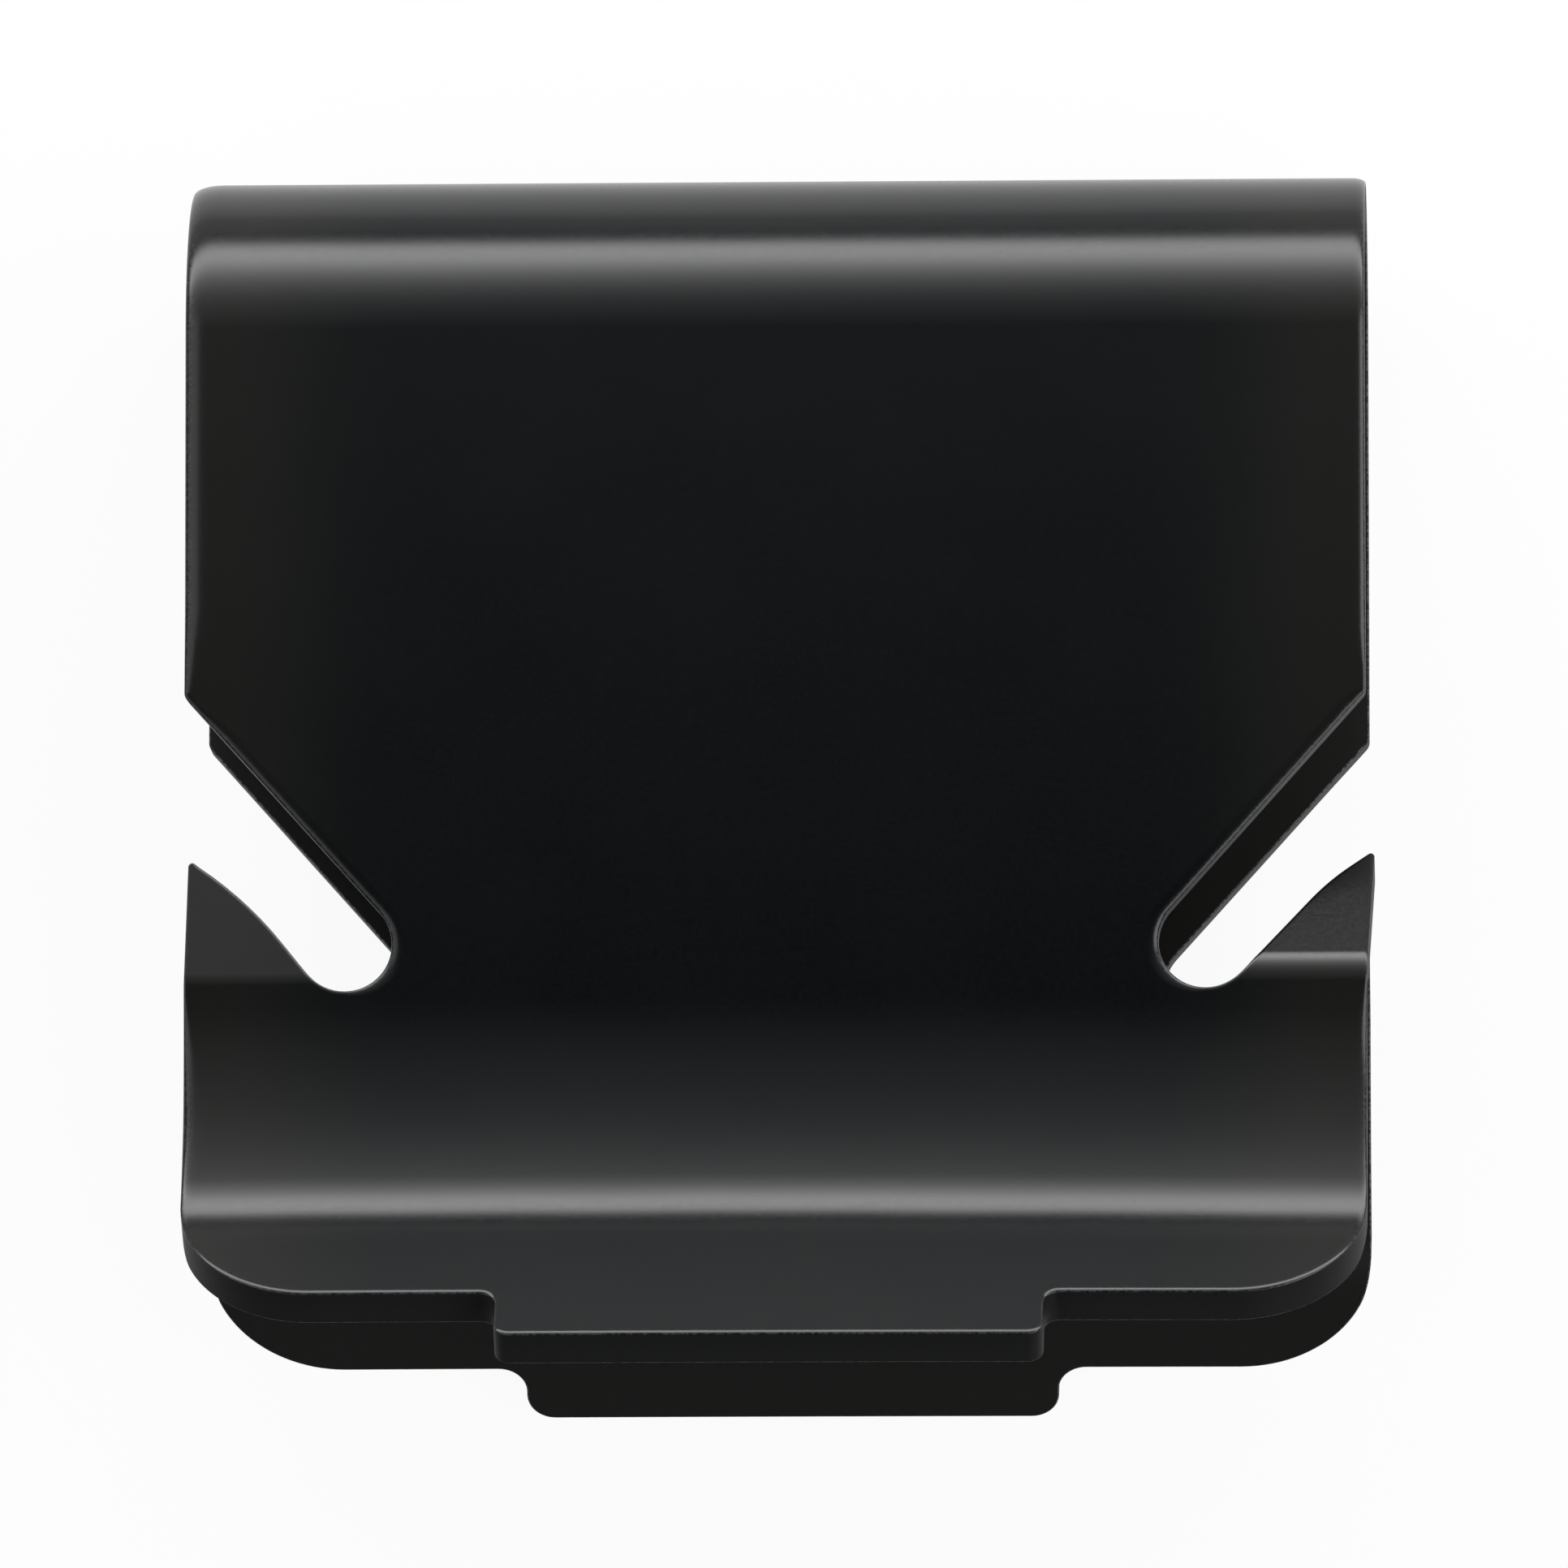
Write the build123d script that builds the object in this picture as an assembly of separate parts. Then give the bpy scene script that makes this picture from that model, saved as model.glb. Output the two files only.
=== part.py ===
from build123d import *
from math import asin, atan2, cos, degrees, hypot, radians, sin, sqrt, tan
import os

# U-shaped panel clip: one strip of spring steel, sheared and folded. Sizes are in millimetres and
# degrees. X runs across the strip, the closed bend points to +Y and the mouth to -Y. The clip lies
# as it rests on a table: on the round of its bend and on the tab of its lower lip.

# Strip
width = 15.0
sheet = 0.5

# Side profile. Radii are those of the outer skin, the one that looks away from the panel gap.
bendRadius = 2.1
legSlope = 1.5       # each leg leans in towards the panel gap by this much
easeRadius = 6.2     # long soft start of the flare
easeAngle = 19.0
flareRadius = 2.0    # tighter end of the flare
flareAngle = 45.0    # whole turn between a leg and its lip
lipLength = 1.18     # flat part of the lip, from the flare to the shoulder edge

# Outline of the lip
cornerRadius = 1.7
tabWidth = 6.9
tabLength = 0.8
tabRound = 0.2

# Slot that frees each barb, open at the side edge and round at its inner end
slotWidth = 1.2
slotAngle = 48.0     # between the slot and the line across the strip
slotStart = 4.7      # from the closed bend to where the slot's upper edge meets the side edge
slotInset = 2.04     # from the side edge to the centre of the slot's round end
slotStagger = 0.22   # the lower leg's slots sit this much nearer the mouth
mouthRound = 0.15    # corner between the slot's upper edge and the side edge
flareGap = 0.12      # from the lower leg's slots to the start of the flare

# Barb, folded into the panel gap on a crease level with the slot's round end
barbAngle = 38.0
creaseDrop = 0.52    # from the centre of the slot's round end down to the crease
creaseRadius = 0.15  # inside the fold
crownInset = 0.85    # from the side edge to where the barb's slanted edge starts to round off
crownRadius = 4.3
crownTurn = 20.0     # carries the rounded edge out past the side edge
tipRound = 0.1       # where the rounded edge meets the side edge

# Shearing rolls the outer edges of the strip over a little
edgeRound = 0.08

# Worked out from the sizes above
halfWidth = width / 2
slotRadius = slotWidth / 2
slotLean = radians(slotAngle)
slotRun = slotInset / cos(slotLean) + slotRadius * tan(slotLean)
slotDepth = slotStart + slotRadius * (1 + cos(slotLean)) + slotRun * sin(slotLean)
legLength = slotDepth + slotStagger + flareGap
overrun = sheet      # how far cutting tools reach past the metal


def skinLine(depth):
    # Upper half of the skin at this depth below the outer one, from the bend to the lip's end
    bend = JernArc((-depth, 0), (0, 1), bendRadius - depth, 90 + legSlope)
    leg = Line(bend @ 1, bend @ 1 + (bend % 1) * legLength)
    ease = JernArc(leg @ 1, leg % 1, easeRadius + depth, -easeAngle)
    flare = JernArc(ease @ 1, ease % 1, flareRadius + depth, easeAngle - flareAngle)
    lip = Line(flare @ 1, flare @ 1 + (flare % 1) * (lipLength + tabLength))
    return [bend, leg, ease, flare, lip]


def foldedStrip():
    outside = skinLine(0)
    inside = skinLine(sheet)
    ends = [Line(outside[0] @ 0, inside[0] @ 0), Line(outside[-1] @ 1, inside[-1] @ 1)]
    half = make_face(outside + inside + ends)
    profile = half + mirror(half, about=Plane.XZ)
    return extrude(Plane.YZ * profile, halfWidth, both=True)


def skinPlane(line, leanOut):
    # Plane on the outer skin at the end of a profile line: X across, Y to the bend, Z outwards
    end = line @ 1
    lean = radians(leanOut)
    return Plane(origin=(0, end.X, end.Y), x_dir=(1, 0, 0), z_dir=(0, sin(lean), cos(lean)))


def bothSides(shape):
    return shape + mirror(shape, about=Plane.YZ)


class Slot:
    # Right-hand slot and its barb, drawn on the plane of a leg from where the closed bend ends
    def __init__(self, stagger):
        self.along = Vector(cos(slotLean), sin(slotLean))
        self.across = Vector(-sin(slotLean), cos(slotLean)) * slotRadius
        self.mouth = Vector(halfWidth, -slotStart - stagger)
        middle = self.mouth - self.across
        self.centre = middle - self.along * slotRun
        self.outer = middle + self.along * slotWidth
        self.crease = self.centre + Vector(sqrt(slotRadius ** 2 - creaseDrop ** 2), -creaseDrop)

    def opening(self):
        # The slot, and the wedge below it that the barb is folded out of
        corners = [self.centre + self.across, self.outer + self.across,
                   (self.outer.X, self.crease.Y), self.crease, self.centre]
        return make_face(Polyline(*corners, close=True)) + Pos(self.centre) * Circle(slotRadius)

    def cutter(self):
        # The opening, with the corner of the leg beside its mouth rounded off
        opening = self.opening()
        leg = Pos(self.centre.X, 0) * Rectangle(halfWidth - self.centre.X, -self.crease.Y,
                                                align=(Align.MIN, Align.MAX)) - opening
        corner = leg.vertices().sort_by_distance(self.mouth)[0]
        waste = leg - fillet(corner, mouthRound)
        return Pos(0, 0, overrun) * extrude(opening + waste, -sheet - 2 * overrun)

    def barbFace(self):
        # The barb seen square to the leg: a slanted edge rounded off to the tip on the side edge
        corner = self.centre - self.across
        straight = (halfWidth - crownInset - corner.X) / cos(slotLean)
        edge = Line(corner, corner + self.along * straight)
        crown = JernArc(edge @ 1, edge % 1, crownRadius, -crownTurn)
        end = crown @ 1
        outer = Line(end, (end.X, self.crease.Y))
        wedge = make_face([edge, crown, outer, Line(outer @ 1, self.crease), Line(self.crease, corner)])
        strip = Pos(0, self.crease.Y) * Rectangle(width, width, align=(Align.CENTER, Align.MIN))
        barb = (wedge & strip) - Pos(self.centre) * Circle(slotRadius)
        return fillet(barb.vertices().sort_by(Axis.Y)[-1], tipRound)

    def foldedSheet(self):
        # Sheet turned down at the crease, as wide as the barb and longer than it
        reach = slotRun + slotWidth
        sides = []
        for depth in (0, sheet):
            fold = JernArc((self.crease.Y, -depth), (1, 0), creaseRadius + sheet - depth, -barbAngle)
            sides += [fold, Line(fold @ 1, fold @ 1 + (fold % 1) * reach)]
        ends = [Line(sides[0] @ 0, sides[2] @ 0), Line(sides[1] @ 1, sides[3] @ 1)]
        section = Plane.YZ * make_face(sides + ends)
        return Pos(self.crease.X, 0, 0) * extrude(section, halfWidth - self.crease.X)

    def barb(self):
        depth = sheet + slotRun + slotWidth
        column = Pos(0, 0, overrun) * extrude(self.barbFace(), -depth - overrun)
        return self.foldedSheet() & column


def lipTrimmer():
    # What the die cuts away round the lip, drawn on the plane of the lip
    shoulder = Pos(0, -lipLength)
    body = shoulder * Rectangle(width, lipLength + cornerRadius, align=(Align.CENTER, Align.MIN))
    body = fillet(body.vertices().group_by(Axis.Y)[0], cornerRadius)
    lip = body + shoulder * Rectangle(tabWidth, tabLength, align=(Align.CENTER, Align.MAX))
    tabCorners = lip.vertices().sort_by(lambda corner: abs(corner.X))[:4]
    lip = fillet(tabCorners, tabRound)
    blank = Rectangle(width + 2 * overrun, tabLength + overrun + cornerRadius,
                      align=(Align.CENTER, Align.MIN))
    waste = Pos(0, -lipLength - tabLength - overrun) * blank - lip
    return extrude(waste, sheet + overrun, both=True)


def workLeg(strip, stagger, below):
    # Slots, barbs and lip of one leg; the lower leg is worked as the upper one seen in a mirror
    skin = skinLine(0)
    leg = skinPlane(skin[0], -legSlope)
    lip = skinPlane(skin[3], flareAngle - legSlope)
    slot = Slot(stagger)
    tools = [leg * bothSides(slot.cutter()), lip * lipTrimmer(), leg * bothSides(slot.barb())]
    if below:
        tools = [mirror(tool, about=Plane.XY) for tool in tools]
    slots, trimmer, barbs = tools
    return strip - slots - trimmer + barbs


def isOuterSkin(face):
    # Skins don't lean across the strip. The outer ones look away from the gap, or straight back
    # at the closed bend; the cut end of a lip looks out of the mouth
    facing = face.normal_at()
    isSkin = abs(facing.X) < 0.01 and facing.Y > -0.5
    awayFromGap = facing.Z * face.center().Z > 0
    straightBack = facing.Y > 0.99
    return isSkin and (awayFromGap or straightBack)


def outerRim(clip):
    # Edges that the outer skin shares with the cut faces, and not with more of the skin
    edges = clip.faces().filter_by(isOuterSkin).edges()
    return ShapeList(edge for edge in edges if sum(edge.is_same(other) for other in edges) == 1)


def makeClip():
    clip = workLeg(foldedStrip(), 0, False)
    clip = workLeg(clip, slotStagger, True)
    return clip.fillet(edgeRound, outerRim(clip))


def restTilt():
    # Angle that brings the round of the bend and the tab of the lower lip to one level
    tip = skinLine(0)[-1] @ 1
    behind = -tip.X - bendRadius
    return degrees(atan2(tip.Y, behind) - asin(bendRadius / hypot(behind, tip.Y)))


def atRest(clip):
    # Mouth raised until the clip stands on bend and tab, centred over the origin
    raised = Rot(-restTilt(), 0, 0) * clip
    box = raised.bounding_box()
    return Pos(0, -box.center().Y, -box.min.Z) * raised


os.makedirs("parts", exist_ok=True)
export_step(atRest(makeClip()), "parts/spring_clip.step")
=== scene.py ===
from math import acos, asin, atan2, ceil, cos, hypot, pi, radians, sin, tan

import bmesh
import bpy
import numpy as np
from mathutils import Matrix, Vector


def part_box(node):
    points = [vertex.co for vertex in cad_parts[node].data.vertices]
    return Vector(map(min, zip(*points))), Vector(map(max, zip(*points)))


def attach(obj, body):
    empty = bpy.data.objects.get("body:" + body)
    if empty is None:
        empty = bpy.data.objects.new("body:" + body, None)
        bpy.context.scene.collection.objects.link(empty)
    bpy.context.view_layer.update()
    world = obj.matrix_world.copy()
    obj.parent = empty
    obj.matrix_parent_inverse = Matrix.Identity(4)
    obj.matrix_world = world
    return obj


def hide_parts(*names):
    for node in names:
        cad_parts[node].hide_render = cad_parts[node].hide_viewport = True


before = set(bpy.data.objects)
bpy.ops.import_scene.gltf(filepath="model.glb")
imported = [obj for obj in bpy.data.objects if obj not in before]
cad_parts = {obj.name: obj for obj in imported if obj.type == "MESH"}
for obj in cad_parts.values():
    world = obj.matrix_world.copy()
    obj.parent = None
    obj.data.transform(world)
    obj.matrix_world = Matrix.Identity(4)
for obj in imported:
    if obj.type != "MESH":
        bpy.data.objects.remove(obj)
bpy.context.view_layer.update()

mm = 0.001

# The strip is drawn flat, with x across it and "run" along its outer skin from the middle of the
# closed bend, and then folded up. Its sizes are in millimetres and degrees.
clip = {
    "width": 15.0,
    "sheet": 0.5,
    "bendRadius": 2.1,       # radii are those of the outer skin
    "legSlope": 1.5,         # each leg leans in towards the panel gap
    "easeRadius": 6.95,      # long soft start of the flare
    "easeAngle": 19.0,
    "flareRadius": 2.0,      # tighter end of the flare
    "flareAngle": 45.0,      # whole turn between a leg and its lip
    "lipLength": 1.18,       # flat part of the lip, up to its shoulder
    "cornerRadius": 1.7,
    "tabWidth": 6.9,
    "tabLength": 0.8,
    "tabRound": 0.2,
    "lowerTabRound": 0.36,
    "slotWidth": 1.2,
    "slotAngle": 48.0,       # between a slot and the line across the strip
    "slotStart": 4.7,        # from the closed bend to the slot's upper edge, at the side edge
    "slotInset": 2.04,       # from the side edge to the centre of the slot's round end
    "slotStagger": 0.22,     # the lower leg's slots sit this much nearer the mouth
    "flareGap": -0.13,       # the soft start of the flare reaches just past the slots' ends
    "slotMouthRound": 0.15,
    "creaseDrop": 0.52,      # from the centre of a slot's round end to the barb's crease
    "flareBow": 0.05,        # the flare starts this much later at both sides than in the middle
    "flareSkew": 0.045,      # and this much later again on the right
    "creaseRadius": 0.15,    # inside the fold
    "edgeLift": 2.5,         # a barb's slanted edge is this much steeper than its slot
    "edgeLiftFrom": 0.1,     # from this far along it
    "crownTurn": 24.0,       # how far a barb's rounded edge turns on its way to the tip
    "tipTurn": 0.9,          # the last stretch to the tip follows this share of the turn
    "barbTipRound": 0.05,
    "lowerTrim": 0.075,      # the lower leg is this much narrower on the left
    "leftRoll": 0.36,        # how far in the die rolls the skin over along the left side,
    "rightRoll": 0.18,       # along the right side,
    "slotRoll": 0.17,        # along the slots' upper edges,
    "barbRoll": 0.05,        # round the barbs
    "lipRoll": 0.09,         # and round the lips, which are trimmed after folding
    "rollTaper": 0.22,       # how much the roll widens per millimetre away from a narrow place
    "rollShare": 0.5,        # of the outline's own radius, at most
    "rollDepth": 0.35,       # depth of the roll as a share of its width
    "burrRound": 0.02,       # on the inner skin, where the die breaks out
}

# Each barb is bent and cropped a little differently. Its slanted edge starts to round off at the
# crown, this far from the side edge, and it splays out by this much per millimetre.
barbs = {
    ("upper", "left"): {"angle": 13.0, "crownInset": 1.22, "crownRadius": 5.0, "splay": -0.02},
    ("upper", "right"): {"angle": 37.3, "crownInset": 0.78, "crownRadius": 2.8, "splay": 0.045},
    ("lower", "left"): {"angle": 38.0, "crownInset": 0.85, "crownRadius": 4.3, "splay": 0.0},
    ("lower", "right"): {"angle": 38.0, "crownInset": 0.85, "crownRadius": 4.3, "splay": 0.0},
}
staggers = {"upper": 0.0, "lower": clip["slotStagger"]}
legSigns = {"upper": 1, "lower": -1}
sideSigns = {"left": -1, "right": 1}

halfWidth = clip["width"] / 2
sheet = clip["sheet"]
slotRadius = clip["slotWidth"] / 2
slotLean = radians(clip["slotAngle"])
slotRun = clip["slotInset"] / cos(slotLean) + slotRadius * tan(slotLean)
slotDepth = clip["slotStart"] + slotRadius * (1 + cos(slotLean)) + slotRun * sin(slotLean)
foldRadius = clip["creaseRadius"] + sheet

# How fine the mesh is, and the shortest distances that count, in millimetres
fineness = {
    "bend": 41,              # cross strips on half the bend, and on each further stretch
    "leg": 19,
    "ease": 15,
    "flare": 17,
    "lip": 8,
    "crease": 10,
    "crown": 10,             # stretches on a barb's rounded edge
    "lengthwise": 10,        # strips across the flare and the lip
    "rollAngles": range(0, 91, 15),      # rings round the roll, down the cut face, round the burr
    "faceShares": (0.3, 0.6),
    "burrAngles": (0, 30, 60, 90),
    "arc": 0.0008,           # between an arc and its chords
    "stretch": 0.25,         # longest stretch of the outline
    "snap": 1e-5,            # points this close to a cut are taken to lie on it
    "level": 1e-4,           # points this close along the strip are level
    "smallest": 2e-4,        # shorter edges are closed up
}


def skinRuns():
    # Length and curvature of each stretch of the outer skin, from the bend's middle to the tab
    bend = radians(90 + clip["legSlope"]) * clip["bendRadius"]
    leg = slotDepth + clip["slotStagger"] + clip["flareGap"]
    ease = radians(clip["easeAngle"]) * clip["easeRadius"]
    flare = radians(clip["flareAngle"] - clip["easeAngle"]) * clip["flareRadius"]
    lip = clip["lipLength"] + clip["tabLength"]
    return [(bend, 1 / clip["bendRadius"]), (leg, 0.0), (ease, -1 / clip["easeRadius"]),
            (flare, -1 / clip["flareRadius"]), (lip, 0.0)]


runEnds = np.cumsum([length for length, _ in skinRuns()])
bendEnd, legEnd, _, flareEnd, stripEnd = runEnds
shoulder = flareEnd + clip["lipLength"]


def stretchStep(startLean, length, curve):
    # Step along a stretch of the skin, and how the skin leans after it
    lean = startLean + length * curve
    if curve:
        turned = np.stack([np.cos(lean) - cos(startLean), np.sin(lean) - sin(startLean)], -1)
        return turned / curve, lean
    return np.multiply.outer(length, [-sin(startLean), cos(startLean)]), lean


def skinAt(run):
    # Where the outer skin is (Y, Z) and which way it faces, this far from the bend's middle
    spot = np.zeros((len(run), 2))
    lean = np.zeros(len(run))
    startSpot, startLean, done = np.zeros(2), 0.0, 0.0
    for length, curve in skinRuns():
        here = run >= done
        step, lean[here] = stretchStep(startLean, np.minimum(run[here] - done, length), curve)
        spot[here] = startSpot + step
        step, startLean = stretchStep(startLean, length, curve)
        startSpot = startSpot + step
        done += length
    return spot, lean


def roundedPath(corners):
    # Points along straight edges joined by arcs; each corner is (x, run, radius of its arc)
    points = [np.array(corners[0][:2])]
    for before, corner, after in zip(corners, corners[1:], corners[2:]):
        here = np.array(corner[:2])
        into = here - np.array(before[:2])
        out = np.array(after[:2]) - here
        into, out = into / np.linalg.norm(into), out / np.linalg.norm(out)
        turn = atan2(into[0] * out[1] - into[1] * out[0], float(into @ out))
        radius = corner[2]
        if not radius:
            points.append(here)
            continue
        side = np.array([-into[1], into[0]]) * np.sign(turn)
        start = here - into * radius * tan(abs(turn) / 2)
        centre = start + side * radius
        steps = max(2, round(abs(turn) / (2 * acos(1 - fineness["arc"] / radius))))
        for k in range(steps + 1):
            angle = abs(turn) * k / steps
            points.append(centre - side * radius * cos(angle) + into * radius * sin(angle))
    points.append(np.array(corners[-1][:2]))
    return np.array(points)


def finerPath(points):
    # The same path with long stretches divided
    finer = [points[0]]
    for a, b in zip(points, points[1:]):
        count = ceil(np.linalg.norm(b - a) / fineness["stretch"] - 1e-6)
        finer += [a + (b - a) * k / count for k in range(1, count + 1)]
    return np.array(finer)


def slotPlan(stagger):
    # The right-hand slot: its length and width as directions, its round end and the barb's crease
    along = np.array([cos(slotLean), -sin(slotLean)])
    across = np.array([-sin(slotLean), -cos(slotLean)]) * slotRadius
    mouth = np.array([halfWidth, bendEnd + clip["slotStart"] + stagger]) - across
    centre = mouth - along * slotRun
    return {"along": along, "across": across, "centre": centre,
            "crease": centre[1] + clip["creaseDrop"]}


def isBarb(x, run, stagger):
    # True on the wedge between the slot, the crease and the side edge
    slot = slotPlan(stagger)
    inward, down = np.abs(x) - slot["centre"][0], run - slot["centre"][1]
    pastSlot = inward * slot["across"][0] + down * slot["across"][1] < 0
    return pastSlot & (inward > 0) & (run < slot["crease"])


def flatBarb(points, stagger, barbLean):
    # The barb's outline is drawn as seen square to the leg; this opens it out flat
    crease = slotPlan(stagger)["crease"]
    barb = isBarb(points[:, 0], points[:, 1], stagger)
    seen = crease - points[barb, 1]
    foldSeen = foldRadius * sin(barbLean)
    onFold = foldRadius * np.arcsin(np.clip(seen / foldRadius, 0, 1))
    pastFold = foldRadius * barbLean + (seen - foldSeen) / cos(barbLean)
    points[barb, 1] = crease - np.where(seen < foldSeen, onFold, pastFold)
    return points


def barbEdge(slot, barb):
    # Corners of a barb's slanted edge, from the slot's round end over the crown to the tip
    edgeLean = slotLean + radians(clip["edgeLift"])
    start = slot["centre"] - slot["across"] + slot["along"] * clip["edgeLiftFrom"]
    way = np.array([cos(edgeLean), -sin(edgeLean)])
    crownStart = start + way * (halfWidth - barb["crownInset"] - start[0]) / cos(edgeLean)
    radius = barb["crownRadius"]
    crownCentre = crownStart + np.array([sin(edgeLean), cos(edgeLean)]) * radius
    corners = [(*start, 0), (*crownStart, 0)]
    for k in range(1, fineness["crown"] + 1):
        lean = edgeLean - radians(clip["crownTurn"]) * k / fineness["crown"]
        spot = crownCentre - np.array([sin(lean), cos(lean)]) * radius
        if spot[0] > halfWidth - 2 * clip["barbTipRound"]:
            break
        corners.append((*spot, 0))
    lean = edgeLean - asin((halfWidth - crownStart[0]) / radius) * clip["tipTurn"]
    tip = corners[-1][1] - (halfWidth - corners[-1][0]) * tan(lean)
    return corners + [(halfWidth, tip, clip["barbTipRound"])]


def quarterOutline(leg, side):
    # One side edge of one leg, drawn on the right, from the middle of the bend to that of the tab
    stagger = staggers[leg]
    barb = barbs[leg, side]
    slot = slotPlan(stagger)
    inner = slot["centre"] - slot["along"] * slotRadius
    tab = clip["tabWidth"] / 2
    tabRound = clip["tabRound"] if leg == "upper" else clip["lowerTabRound"]
    corners = [(halfWidth, 0.0, 0),
               (halfWidth, bendEnd + clip["slotStart"] + stagger, clip["slotMouthRound"]),
               (*(inner + slot["across"]), slotRadius), (*(inner - slot["across"]), slotRadius),
               *barbEdge(slot, barb),
               (halfWidth, shoulder, clip["cornerRadius"]), (tab, shoulder, tabRound),
               (tab, stripEnd, tabRound), (0.0, stripEnd, 0)]
    return flatBarb(finerPath(roundedPath(corners)), stagger, radians(barb["angle"]))


def stripOutline():
    # The whole strip's edge, once round
    upperRight = quarterOutline("upper", "right")
    upperLeft = quarterOutline("upper", "left") * [-1, 1]
    lowerLeft = quarterOutline("lower", "left") * [-1, -1]
    lowerRight = quarterOutline("lower", "right") * [1, -1]
    trim = clip["lowerTrim"] / halfWidth * np.minimum(-lowerLeft[:, 1] / bendEnd, 1)
    lowerLeft[:, 0] *= 1 - trim
    return np.concatenate([upperRight, upperLeft[-2::-1], lowerLeft[1:], lowerRight[-2:0:-1]])


def rollWidths(loop):
    # Width of the rolled edge at each point; it narrows where the outline is tight
    before, after = np.roll(loop, 1, 0), np.roll(loop, -1, 0)
    into, out = loop - before, after - loop
    length = np.linalg.norm(out, axis=1)
    turn = np.arctan2(into[:, 0] * out[:, 1] - into[:, 1] * out[:, 0], (into * out).sum(1))
    straight, least = 99.0, 0.02       # a gentler turn than this in radians counts as straight
    turning = (length + np.roll(length, 1)) / 2 / np.maximum(turn, least)
    radius = np.where(turn > least, turning, straight)
    x, run = loop[:, 0], np.abs(loop[:, 1])
    near = 0.01                        # of a side edge
    places = {"lipRoll": run > shoulder - clip["cornerRadius"],
              "barbRoll": isBarb(x, run, 0) | isBarb(x, run, clip["slotStagger"]),
              "leftRoll": x < -halfWidth + near + clip["lowerTrim"],
              "rightRoll": x > halfWidth - near}
    limit = np.select(list(places.values()), [clip[name] for name in places], clip["slotRoll"])
    limit = np.minimum(limit, clip["rollShare"] * radius)
    place = np.cumsum(length)
    apart = np.abs(place[:, None] - place[None, :])
    apart = np.minimum(apart, place[-1] - apart)
    return (limit[None, :] + clip["rollTaper"] * apart).min(1)


def inwardAt(loop):
    # Unit direction into the metal at each point of the edge
    tangent = np.roll(loop, -1, 0) - loop
    tangent /= np.linalg.norm(tangent, axis=1)[:, None]
    tangent = tangent + np.roll(tangent, 1, 0)
    tangent /= np.linalg.norm(tangent, axis=1)[:, None]
    return np.stack([-tangent[:, 1], tangent[:, 0]], 1)


def edgeRings(loop):
    # Rings of the sheared edge from skin to skin: (x, run, height), facing and stage. The stage
    # is 0 on the outer skin, 1 past the roll, 2 at the foot of the cut face and 3 past the burr.
    roll = rollWidths(loop)[:, None]
    depth = roll * clip["rollDepth"]
    inward = inwardAt(loop)
    burr = clip["burrRound"]
    ones = np.ones_like(roll)
    rings = []
    for angle in np.radians(fineness["rollAngles"]):
        inset, drop = roll * (1 - sin(angle)), depth * (1 - cos(angle))
        rings.append((inset, drop, sin(angle) / roll, cos(angle) / depth, sin(angle) ** 2))
    for share in fineness["faceShares"]:
        drop = depth + (sheet - burr - depth) * share
        rings.append((0 * ones, drop, ones, 0 * ones, 1 + share))
    for angle in np.radians(fineness["burrAngles"]):
        inset, drop = burr * (1 - cos(angle)), sheet - burr * (1 - sin(angle))
        parts = (inset, drop, cos(angle), -sin(angle))
        rings.append((*(part * ones for part in parts), 2 + sin(angle)))
    made = []
    for inset, drop, out, up, stage in rings:
        place = np.concatenate([loop + inward * inset, -drop], 1)
        facing = np.concatenate([-inward * out, up], 1)
        facing /= np.linalg.norm(facing, axis=1)[:, None]
        made.append((place, facing, stage))
    return made


def cutLines():
    # Where the flat strip is cut across, close together wherever it bends
    lines = []
    stretches = ("bend", "leg", "ease", "flare", "lip")
    for stretch, start, end in zip(stretches, (0, *runEnds), runEnds):
        lines += list(np.linspace(start, end, fineness[stretch] + 1)[:-1])
    both = set()
    for (leg, _), barb in barbs.items():
        crease = slotPlan(staggers[leg])["crease"]
        step = foldRadius * radians(barb["angle"]) / fineness["crease"]
        fold = [crease - step * k for k in range(fineness["crease"] + 1)]
        both |= {round(legSigns[leg] * float(line), 5) for line in lines + fold}
    return sorted(both)


def cutAt(bm, geometry, place, normal):
    bmesh.ops.bisect_plane(bm, geom=geometry, dist=fineness["snap"], plane_co=place,
                           plane_no=normal)


def flatStrip():
    # Closed flat mesh with a rolled edge on the outer skin; facings ride along as a layer
    bm = bmesh.new()
    facingLayer = bm.verts.layers.float_vector.new("facing")
    stageLayer = bm.verts.layers.float.new("edgeStage")
    loop = stripOutline()
    rings = []
    for place, facing, stage in edgeRings(loop):
        ring = []
        for spot, way in zip(place, facing):
            vert = bm.verts.new(spot)
            vert[facingLayer] = Vector(way)
            vert[stageLayer] = stage
            ring.append(vert)
        rings.append(ring)
    count = len(loop)
    for ring, lower in zip(rings, rings[1:]):
        for k in range(count):
            n = (k + 1) % count
            bm.faces.new((ring[k], lower[k], lower[n], ring[n]))
    skins = [bm.faces.new(rings[0]), bm.faces.new(rings[-1][::-1])]
    bm.normal_update()
    bmesh.ops.triangulate(bm, faces=skins)
    for line in cutLines():
        cutAt(bm, bm.verts[:] + bm.edges[:] + bm.faces[:], (0, line, 0), (0, 1, 0))
    bm.normal_update()
    dissolveStrays(bm)
    cutLengthwise(bm)
    bmesh.ops.dissolve_degenerate(bm, dist=fineness["smallest"], edges=bm.edges[:])
    return bm


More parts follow.
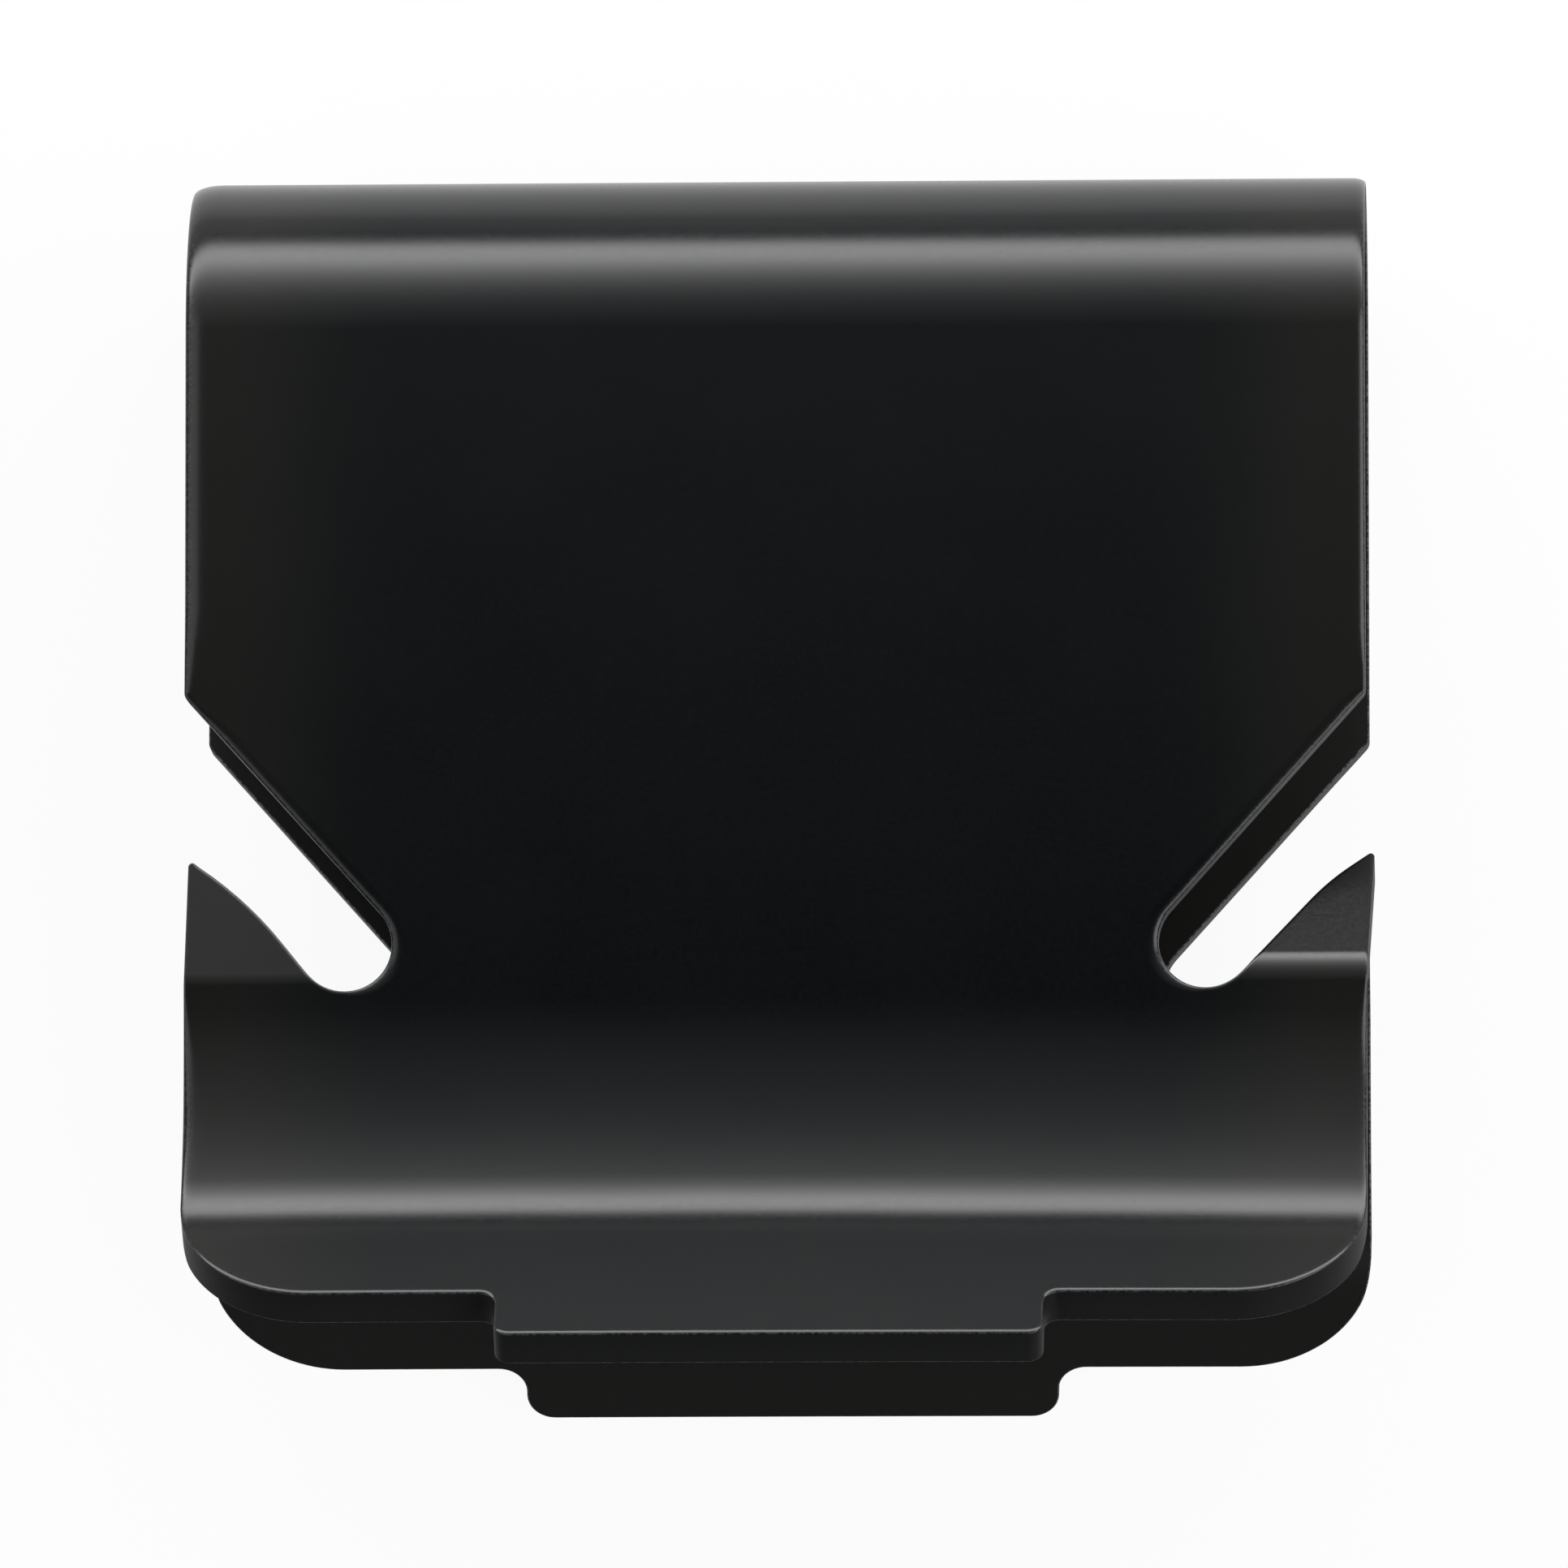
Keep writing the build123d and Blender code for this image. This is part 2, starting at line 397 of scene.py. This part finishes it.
def dissolveStrays(bm):
    # Joins the triangles between two cut lines, so that the skins are clean cross strips
    strays = []
    for edge in bm.edges:
        flat = all(abs(face.normal.z) > 0.999 for face in edge.link_faces)
        across = abs(edge.verts[0].co.y - edge.verts[1].co.y) < fineness["level"]
        if flat and not across:
            strays.append(edge)
    bmesh.ops.dissolve_edges(bm, edges=strays, use_verts=False)
    between = [vert for vert in bm.verts if len(vert.link_edges) == 2]
    bmesh.ops.dissolve_verts(bm, verts=between)


def cutLengthwise(bm):
    # The flare and the lip aren't folded quite square, so they need points across the strip
    for x in np.linspace(-halfWidth, halfWidth, fineness["lengthwise"] + 1)[1:-1]:
        ends = [face for face in bm.faces
                if min(abs(vert.co.y) for vert in face.verts) > legEnd - fineness["level"]]
        geometry = dict.fromkeys(part for face in ends for part in (face, *face.edges, *face.verts))
        cutAt(bm, list(geometry), (x, 0, 0), (1, 0, 0))


def skinWays(lean):
    # Directions along the skin, from the bend to the mouth, and out of it
    return np.stack([-np.sin(lean), np.cos(lean)], -1), np.stack([np.cos(lean), np.sin(lean)], -1)


def flareLate(x, run):
    # The press doesn't fold the flare quite square: how much later it comes, across the strip
    share = x / halfWidth
    late = clip["flareBow"] * share ** 2 + clip["flareSkew"] * (1 + share) / 2
    return np.where(run > legEnd, np.minimum(late, run - legEnd), 0.0)


def foldedUp(flat, facing):
    # Flat places and facings of the strip, carried round the bend, the flare and the creases
    x, run, height = flat[:, 0].copy(), np.abs(flat[:, 1]), flat[:, 2]
    side = np.where(flat[:, 1] < 0, -1.0, 1.0)
    late = flareLate(x, run)
    spot, lean = skinAt(run - late)
    spot += late[:, None] * skinWays(skinAt(np.array([legEnd]))[1])[0]
    ahead, out = skinWays(lean)
    for (leg, hand), barb in barbs.items():
        onLeg = (side == legSigns[leg]) & (x * sideSigns[hand] > 0)
        onBarb = isBarb(x, run, staggers[leg]) & onLeg
        crease = slotPlan(staggers[leg])["crease"]
        past = crease - run[onBarb]
        x[onBarb] += sideSigns[hand] * barb["splay"] * past
        fold = np.minimum(past / foldRadius, radians(barb["angle"]))
        rest = past - fold * foldRadius
        seen = foldRadius * np.sin(fold) + rest * np.cos(fold)
        drop = foldRadius * (1 - np.cos(fold)) + rest * np.sin(fold)
        start, startLean = skinAt(np.array([crease]))
        startAhead, startOut = skinWays(startLean)
        spot[onBarb] = start - startAhead * seen[:, None] - startOut * drop[:, None]
        fold = fold[:, None]
        out[onBarb] = startOut * np.cos(fold) - startAhead * np.sin(fold)
        ahead[onBarb] = startAhead * np.cos(fold) + startOut * np.sin(fold)
    place = spot + out * height[:, None]
    way = ahead * (facing[:, 1] * side)[:, None] + out * facing[:, 2:3]
    place = np.stack([x, place[:, 0], place[:, 1] * side], 1)
    way = np.stack([facing[:, 0], way[:, 0], way[:, 1] * side], 1)
    return place, way / np.linalg.norm(way, axis=1)[:, None]


def restTilt():
    # The mouth is raised until the clip stands on the round of its bend and its lower tab
    tip = skinAt(np.array([stripEnd]))[0][0]
    behind = -tip[0] - clip["bendRadius"]
    return atan2(tip[1], behind) - asin(clip["bendRadius"] / hypot(behind, tip[1]))


def layDown(points):
    # Turns points from the clip's own frame, along its panel gap, into the frame it rests in
    tilt = restTilt()
    y = points[:, 1] * cos(tilt) + points[:, 2] * sin(tilt)
    z = points[:, 2] * cos(tilt) - points[:, 1] * sin(tilt)
    return np.stack([points[:, 0], y, z], 1)


def makeClip():
    bm = flatStrip()
    facingLayer = bm.verts.layers.float_vector["facing"]
    flat = np.array([v.co[:] for v in bm.verts])
    facing = np.array([v[facingLayer][:] for v in bm.verts])
    facing /= np.linalg.norm(facing, axis=1)[:, None]
    bm.verts.layers.float_vector.remove(facingLayer)
    place, way = foldedUp(flat, facing)
    place, way = layDown(place) * mm, layDown(way)
    low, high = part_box("spring_clip")
    shift = np.array([0, (low.y + high.y - place[:, 1].min() - place[:, 1].max()) / 2,
                      low.z - place[:, 2].min()])
    for vert, spot in zip(bm.verts, place + shift):
        vert.co = spot
    bmesh.ops.recalc_face_normals(bm, faces=bm.faces[:])
    for face in bm.faces:
        face.smooth = True
    mesh = bpy.data.meshes.new("springClip")
    bm.to_mesh(mesh)
    bm.free()
    mesh.normals_split_custom_set_from_vertices([tuple(v) for v in way])
    piece = bpy.data.objects.new("springClip", mesh)
    bpy.context.scene.collection.objects.link(piece)
    return piece, shift


springClip, clipShift = makeClip()
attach(springClip, "root")
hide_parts("spring_clip")
print("strip folded:", len(springClip.data.polygons), "faces")


def toLinear(hexColour):
    # sRGB hex to the linear colour that the shaders take
    parts = [int(hexColour[k:k + 2], 16) / 255 for k in (1, 3, 5)]
    linear = [p / 12.92 if p <= 0.04045 else ((p + 0.055) / 1.055) ** 2.4 for p in parts]
    return (*linear, 1.0)


def addNode(tree, kind, settings=None, **links):
    # One node with its values and links; an input is named, or numbered as "in0"
    node = tree.nodes.new(kind)

    def socket(key):
        return node.inputs[int(key[2:])] if key[2:].isdigit() else node.inputs[key]

    for key, value in (settings or {}).items():
        if hasattr(node, key):
            setattr(node, key, value)
        else:
            socket(key).default_value = value
    for key, source in links.items():
        tree.links.new(source, socket(key))
    return node


def newMaterial(name):
    material = bpy.data.materials.new(name)
    material.use_nodes = True
    material.node_tree.nodes.clear()
    return material, material.node_tree


phosphate = {
    "colour": "#020508",         # crystals soaked with oil
    "sideSheenColour": "#131412",     # painted sheen: greyer towards the side edges
    "sideSheenFrom": 4.6,             # millimetres from the middle of the strip, where the painted sheen starts
    "rimWearAndHighlight": "#2e3134",      # rubbed steel along the rolled edges, partly a painted highlight line
    "rimStages": (0.35, 0.8),    # where on the roll the rubbed steel and painted highlight start and are complete
    "rimPatches": (0.4, 0.62),   # range of the grain's height over which the lighter grey shows
    "innerPaintedLight": "#201f1e",    # painted light: a lighter grey on the inner skin, in the gap between the legs
    "outerBelow": 1.5,           # the outer skin's share of the sheared edge, in stages
    "innerAbove": 2.5,           # and the inner skin's
    "oilIor": 1.5,
    "bendRoughness": 0.24,       # the bend stretches the skin, the flare presses it smooth
    "flatRoughness": 0.22,
    "roughFrom": -1.0,           # millimetres towards the bend, where one changes to the other
    "roughTo": 6.5,
    "grainSize": 0.05,           # millimetres; the crystals are nearer 0.01, too fine to show
    "grainRange": (0.3, 0.7),    # lowest and highest of the grain, as the noise gives it
    "grainRoughness": 0.025,
    "grainHeight": 0.00025,
    "waveSize": 2.2,             # slow unevenness of the sheet
    "waveHeight": 0.006,
    "blotches": 0.3,             # how much the tone follows that unevenness
}


def blackPhosphatedSteel():
    # Spring steel, manganese phosphated and oiled: a black crystal skin under a fine oil film, so
    # the eye sees soft-edged highlights on near black, and along the rolled edges a lighter grey
    # that is partly rubbed steel and partly a painted highlight line
    material, tree = newMaterial("blackPhosphatedSpringSteel")
    place = addNode(tree, "ShaderNodeTexCoord").outputs["Object"]
    split = addNode(tree, "ShaderNodeSeparateXYZ", in0=place)
    stage = addNode(tree, "ShaderNodeAttribute", {"attribute_name": "edgeStage"}).outputs["Fac"]
    grain = addNode(tree, "ShaderNodeTexNoise",
                    {"Scale": 1 / (phosphate["grainSize"] * mm), "Detail": 3.0},
                    Vector=place).outputs[0]
    wave = addNode(tree, "ShaderNodeTexNoise",
                   {"Scale": 1 / (phosphate["waveSize"] * mm), "Detail": 1.0},
                   Vector=place).outputs[0]

    # Tone of the outer skin: random blotches, and a painted sheen that greys it towards the side
    # edges
    aside = addNode(tree, "ShaderNodeMath", {"operation": "ABSOLUTE"}, in0=split.outputs["X"])
    sideSheen = addNode(tree, "ShaderNodeMapRange",
                   {"interpolation_type": "SMOOTHSTEP", "From Min": phosphate["sideSheenFrom"] * mm,
                    "From Max": halfWidth * mm}, Value=aside.outputs[0])
    blotchesAndSideSheen = addNode(tree, "ShaderNodeMath",
                      {"operation": "MULTIPLY_ADD", "use_clamp": True,
                       "in1": phosphate["blotches"]}, in0=wave, in2=sideSheen.outputs[0])
    tone = addNode(tree, "ShaderNodeMixRGB",
                   {"Color1": toLinear(phosphate["colour"]),
                    "Color2": toLinear(phosphate["sideSheenColour"])}, Fac=blotchesAndSideSheen.outputs[0])

    # The inner skin, painted lighter as light in the gap, and the rolled edges, rubbed steel with a
    # painted highlight line
    inside = addNode(tree, "ShaderNodeMath",
                     {"operation": "GREATER_THAN", "in1": phosphate["innerAbove"]}, in0=stage)
    skins = addNode(tree, "ShaderNodeMixRGB", {"Color2": toLinear(phosphate["innerPaintedLight"])},
                    Fac=inside.outputs[0], Color1=tone.outputs[0])
    # Lighter grey along the rolled edges, in patches: partly rubbed steel, partly a painted
    # highlight line
    rimFrom, rimTo = phosphate["rimStages"]
    onRim = addNode(tree, "ShaderNodeMapRange", {"From Min": rimFrom, "From Max": rimTo},
                    Value=stage)
    outside = addNode(tree, "ShaderNodeMath",
                      {"operation": "LESS_THAN", "in1": phosphate["outerBelow"]}, in0=stage)
    rimMask = addNode(tree, "ShaderNodeMath", {"operation": "MULTIPLY"}, in0=onRim.outputs[0],
                   in1=outside.outputs[0])
    patchFrom, patchTo = phosphate["rimPatches"]
    patchy = addNode(tree, "ShaderNodeMapRange", {"From Min": patchFrom, "From Max": patchTo},
                     Value=grain)
    rubbedAndHighlit = addNode(tree, "ShaderNodeMath", {"operation": "MULTIPLY"}, in0=rimMask.outputs[0],
                     in1=patchy.outputs[0])
    colour = addNode(tree, "ShaderNodeMixRGB", {"Color2": toLinear(phosphate["rimWearAndHighlight"])},
                     Fac=rubbedAndHighlit.outputs[0], Color1=skins.outputs[0])

    # Gloss and relief
    gloss = addNode(tree, "ShaderNodeMapRange",
                    {"From Min": phosphate["roughFrom"] * mm, "From Max": phosphate["roughTo"] * mm,
                     "To Min": phosphate["flatRoughness"], "To Max": phosphate["bendRoughness"]},
                    Value=split.outputs["Y"])
    grainFrom, grainTo = phosphate["grainRange"]
    spread = phosphate["grainRoughness"]
    uneven = addNode(tree, "ShaderNodeMapRange",
                     {"From Min": grainFrom, "From Max": grainTo, "To Min": -spread,
                      "To Max": spread, "clamp": False}, Value=grain)
    roughness = addNode(tree, "ShaderNodeMath", {"operation": "ADD"}, in0=gloss.outputs[0],
                        in1=uneven.outputs[0])
    slow = addNode(tree, "ShaderNodeBump",
                   {"Strength": 1.0, "Distance": phosphate["waveHeight"] * mm}, Height=wave)
    fine = addNode(tree, "ShaderNodeBump",
                   {"Strength": 1.0, "Distance": phosphate["grainHeight"] * mm}, Height=grain,
                   Normal=slow.outputs[0])
    shader = addNode(tree, "ShaderNodeBsdfPrincipled", {"IOR": phosphate["oilIor"]},
                     Roughness=roughness.outputs[0], Normal=fine.outputs[0],
                     **{"Base Color": colour.outputs[0]})
    addNode(tree, "ShaderNodeOutputMaterial", Surface=shader.outputs[0])
    return material


shearCut = {
    "stages": (0.99, 2.9),     # of the sheared edge, from below the roll to the burr
    "colour": "#060708",
    "tornColour": "#101214",   # break zone, towards the burr
    "tornStages": (1.2, 1.7),  # where each of them starts and is complete
    "burrColour": "#5a5c5e",   # the burr itself is rubbed bare here and there
    "burrStages": (2.0, 2.4),
    "burrPatches": (0.4, 0.6),
    "ior": 1.5,
    "roughness": 0.6,
    "shine": 0.25,             # half the usual reflection, as the torn metal shades itself
    "tearSize": 0.04,          # millimetres
    "tearHeight": 0.004,
}


def shearedSteel():
    # Cut edge under the same coat: dull and dark, greyer where it is torn, and bright here and
    # there along the burr
    material, tree = newMaterial("phosphatedShearedEdge")
    place = addNode(tree, "ShaderNodeTexCoord").outputs["Object"]
    stage = addNode(tree, "ShaderNodeAttribute", {"attribute_name": "edgeStage"}).outputs["Fac"]
    grain = addNode(tree, "ShaderNodeTexNoise",
                    {"Scale": 1 / (shearCut["tearSize"] * mm), "Detail": 2.0},
                    Vector=place).outputs[0]
    tornFrom, tornTo = shearCut["tornStages"]
    torn = addNode(tree, "ShaderNodeMapRange", {"From Min": tornFrom, "From Max": tornTo},
                   Value=stage)
    share = addNode(tree, "ShaderNodeMath", {"operation": "MULTIPLY"}, in0=torn.outputs[0],
                    in1=grain)
    face = addNode(tree, "ShaderNodeMixRGB",
                   {"Color1": toLinear(shearCut["colour"]),
                    "Color2": toLinear(shearCut["tornColour"])}, Fac=share.outputs[0])
    burrFrom, burrTo = shearCut["burrStages"]
    onBurr = addNode(tree, "ShaderNodeMapRange", {"From Min": burrFrom, "From Max": burrTo},
                     Value=stage)
    patchFrom, patchTo = shearCut["burrPatches"]
    patchy = addNode(tree, "ShaderNodeMapRange", {"From Min": patchFrom, "From Max": patchTo},
                     Value=grain)
    bare = addNode(tree, "ShaderNodeMath", {"operation": "MULTIPLY"}, in0=onBurr.outputs[0],
                   in1=patchy.outputs[0])
    colour = addNode(tree, "ShaderNodeMixRGB", {"Color2": toLinear(shearCut["burrColour"])},
                     Fac=bare.outputs[0], Color1=face.outputs[0])
    tears = addNode(tree, "ShaderNodeBump",
                    {"Strength": 1.0, "Distance": shearCut["tearHeight"] * mm}, Height=grain)
    shader = addNode(tree, "ShaderNodeBsdfPrincipled",
                     {"IOR": shearCut["ior"], "Roughness": shearCut["roughness"],
                      "Specular IOR Level": shearCut["shine"]}, Normal=tears.outputs[0],
                     **{"Base Color": colour.outputs[0]})
    addNode(tree, "ShaderNodeOutputMaterial", Surface=shader.outputs[0])
    return material


def paintClip():
    mesh = springClip.data
    mesh.materials.append(blackPhosphatedSteel())
    mesh.materials.append(shearedSteel())
    stages = np.zeros(len(mesh.vertices))
    mesh.attributes["edgeStage"].data.foreach_get("value", stages)
    cutFrom, cutTo = shearCut["stages"]
    for face in mesh.polygons:
        lowest = stages[list(face.vertices)].min()
        face.material_index = int(cutFrom < lowest < cutTo)


paintClip()
print("finishes made")


# A white card under soft boxes, with a painted pool of light round the clip, in metres
studio = {
    "floorSize": 0.6,
    "floorColour": "#fafafa",
    "paintedFalloffColour": "#a0a0a0",   # painted falloff: greyer further off, where the painted pool of light ends
    "ownWhite": 0.93,         # share of plain white that the floor shows near the clip
    "poolFrom": 0.0145,       # from the clip's middle, where the painted pool of light starts to fade
    "poolTo": 0.023,
    "worldLevel": 0.02,
    "backLow": 11.0,          # degrees above the floor, bottom edge of the box behind the bend
    "backHigh": 76.0,
    "backReach": 0.11,        # from the clip to the box's edges
    "backWidth": 0.3,
    "backPower": 1.0,
}

# How bright the box behind the bend is, from its bottom edge up
backFade = [(0.0, 0.0), (0.03, 0.0), (0.05, 6.9), (0.24, 6.6), (0.3, 4.6), (0.36, 2.9), (0.41, 2.1),
            (0.47, 1.4), (0.58, 0.68), (0.69, 0.4), (0.81, 0.27), (0.95, 0.14), (1.0, 0.1)]

# Azimuth (0 behind the bend, 90 to the right), height, distance, size and brightness
softBoxes = {
    "leftBox": (-90, 38, 0.25, 0.21, 0.9),
    "rightBox": (90, 36, 0.25, 0.16, 3.0),
    "frontRightBox": (140, 35, 0.25, 0.16, 2.0),
    "frontLeftBox": (-150, 35, 0.25, 0.16, 0.8),
}


def makeFloor():
    half = studio["floorSize"] / 2
    corners = [(-half, -half, 0), (half, -half, 0), (half, half, 0), (-half, half, 0)]
    mesh = bpy.data.meshes.new("floor")
    mesh.from_pydata(corners, [], [(0, 1, 2, 3)])
    floor = bpy.data.objects.new("floor", mesh)
    bpy.context.scene.collection.objects.link(floor)
    material, tree = newMaterial("matteWhiteCard")
    # Painted pool of light: the card is white near the clip and greyer further off, and mirrors
    # show the plain white only inside the pool
    place = addNode(tree, "ShaderNodeNewGeometry")
    away = addNode(tree, "ShaderNodeVectorMath", {"operation": "LENGTH"},
                   in0=place.outputs["Position"])
    paintedPool = addNode(tree, "ShaderNodeMapRange",
                   {"interpolation_type": "SMOOTHSTEP", "From Min": studio["poolTo"],
                    "From Max": studio["poolFrom"]}, Value=away.outputs["Value"])
    path = addNode(tree, "ShaderNodeLightPath")
    mirrored = addNode(tree, "ShaderNodeMath", {"operation": "MULTIPLY"}, in0=paintedPool.outputs[0],
                       in1=path.outputs["Is Glossy Ray"])
    seen = addNode(tree, "ShaderNodeMath", {"operation": "MAXIMUM"},
                   in0=path.outputs["Is Camera Ray"], in1=mirrored.outputs[0])
    share = addNode(tree, "ShaderNodeMath", {"operation": "MULTIPLY", "in1": studio["ownWhite"]},
                    in0=seen.outputs[0])
    tone = addNode(tree, "ShaderNodeMixRGB",
                   {"Color1": toLinear(studio["paintedFalloffColour"]),
                    "Color2": toLinear(studio["floorColour"])}, Fac=paintedPool.outputs[0])
    card = addNode(tree, "ShaderNodeBsdfDiffuse", Color=tone.outputs[0])
    white = addNode(tree, "ShaderNodeEmission", {"Color": (1, 1, 1, 1), "Strength": 1.0})
    mix = addNode(tree, "ShaderNodeMixShader", in0=share.outputs[0], in1=card.outputs[0],
                  in2=white.outputs[0])
    addNode(tree, "ShaderNodeOutputMaterial", Surface=mix.outputs[0])
    mesh.materials.append(material)


def addSoftBox(name, azimuth, height, distance, size, radiance):
    turn, lift = radians(azimuth), radians(height)
    way = Vector((sin(turn) * cos(lift), cos(turn) * cos(lift), sin(lift)))
    data = bpy.data.lights.new(name, "AREA")
    data.shape = "RECTANGLE"
    data.size, data.size_y = size
    data.energy = radiance * pi * size[0] * size[1]
    lamp = bpy.data.objects.new(name, data)
    lamp.location = way * distance
    lamp.rotation_euler = way.to_track_quat("Z", "Y").to_euler()
    bpy.context.scene.collection.objects.link(lamp)
    return data


def fadeLamp(data, fade):
    # Brightness along the lamp's height
    data.use_nodes = True
    tree = data.node_tree
    tree.nodes.clear()
    place = addNode(tree, "ShaderNodeNewGeometry")
    split = addNode(tree, "ShaderNodeSeparateXYZ", in0=place.outputs["Parametric"])
    curve = addNode(tree, "ShaderNodeFloatCurve", Value=split.outputs["Y"])
    brightest = max(level for spot, level in fade)
    line = curve.mapping.curves[0]
    for spot, level in fade[1:-1]:
        line.points.new(spot, level / brightest)
    line.points[0].location = (fade[0][0], fade[0][1] / brightest)
    line.points[-1].location = (fade[-1][0], fade[-1][1] / brightest)
    for point in line.points:
        point.handle_type = "VECTOR"
    curve.mapping.update()
    strength = addNode(tree, "ShaderNodeMath", {"operation": "MULTIPLY", "in1": brightest},
                       in0=curve.outputs[0])
    glow = addNode(tree, "ShaderNodeEmission", Strength=strength.outputs[0])
    addNode(tree, "ShaderNodeOutputLight", Surface=glow.outputs[0])


def makeLights():
    low, high = radians(studio["backLow"]), radians(studio["backHigh"])
    half = (high - low) / 2
    reach = studio["backReach"]
    size = (studio["backWidth"], 2 * reach * sin(half))
    middle = (studio["backLow"] + studio["backHigh"]) / 2
    backBox = addSoftBox("backBox", 0, middle, reach * cos(half), size, studio["backPower"])
    fadeLamp(backBox, backFade)
    for name, (azimuth, height, distance, side, radiance) in softBoxes.items():
        addSoftBox(name, azimuth, height, distance, (side, side), radiance)
    world = bpy.data.worlds.new("studioAir")
    bpy.context.scene.world = world
    world.use_nodes = True
    world.node_tree.nodes["Background"].inputs["Color"].default_value = (1, 1, 1, 1)
    world.node_tree.nodes["Background"].inputs["Strength"].default_value = studio["worldLevel"]


view = {
    "tipBack": 7.2,        # degrees from square to the panel gap, towards the mouth
    "aside": 2.4,          # degrees towards +X
    "distance": 257.0,     # millimetres, from the point aimed at
    "aimRun": -7.8,        # where it aims, along the gap from the bend's outside
    "scale": 0.04992,      # share of the picture's width that one millimetre takes there
    "right": 0.0423,       # aim moved this many millimetres right and up in the picture
    "up": 0.0415,
}


def makeCamera():
    back, aside = radians(view["tipBack"]), radians(view["aside"])
    gapWay = np.array([[sin(aside) * cos(back), -sin(back), cos(aside) * cos(back)], [0, 1, 0]])
    out, upish = (Vector(v) for v in layDown(gapWay))
    right = upish.cross(out).normalized()
    up = out.cross(right)
    aim = layDown(np.array([[0, view["aimRun"], 0]]))[0] * mm + clipShift
    aim = Vector(aim) + (right * view["right"] + up * view["up"]) * mm
    data = bpy.data.cameras.new("camera")
    data.sensor_width = 36.0
    data.lens = data.sensor_width * view["scale"] * view["distance"]
    data.clip_start, data.clip_end = 0.01, 5.0    # metres
    camera = bpy.data.objects.new("camera", data)
    spin = Matrix((right, up, out)).transposed().to_4x4()
    camera.matrix_world = Matrix.Translation(aim + out * view["distance"] * mm) @ spin
    bpy.context.scene.collection.objects.link(camera)
    bpy.context.scene.camera = camera


makeFloor()
makeLights()
makeCamera()
bpy.context.scene.view_settings.view_transform = "Standard"
print("studio ready")
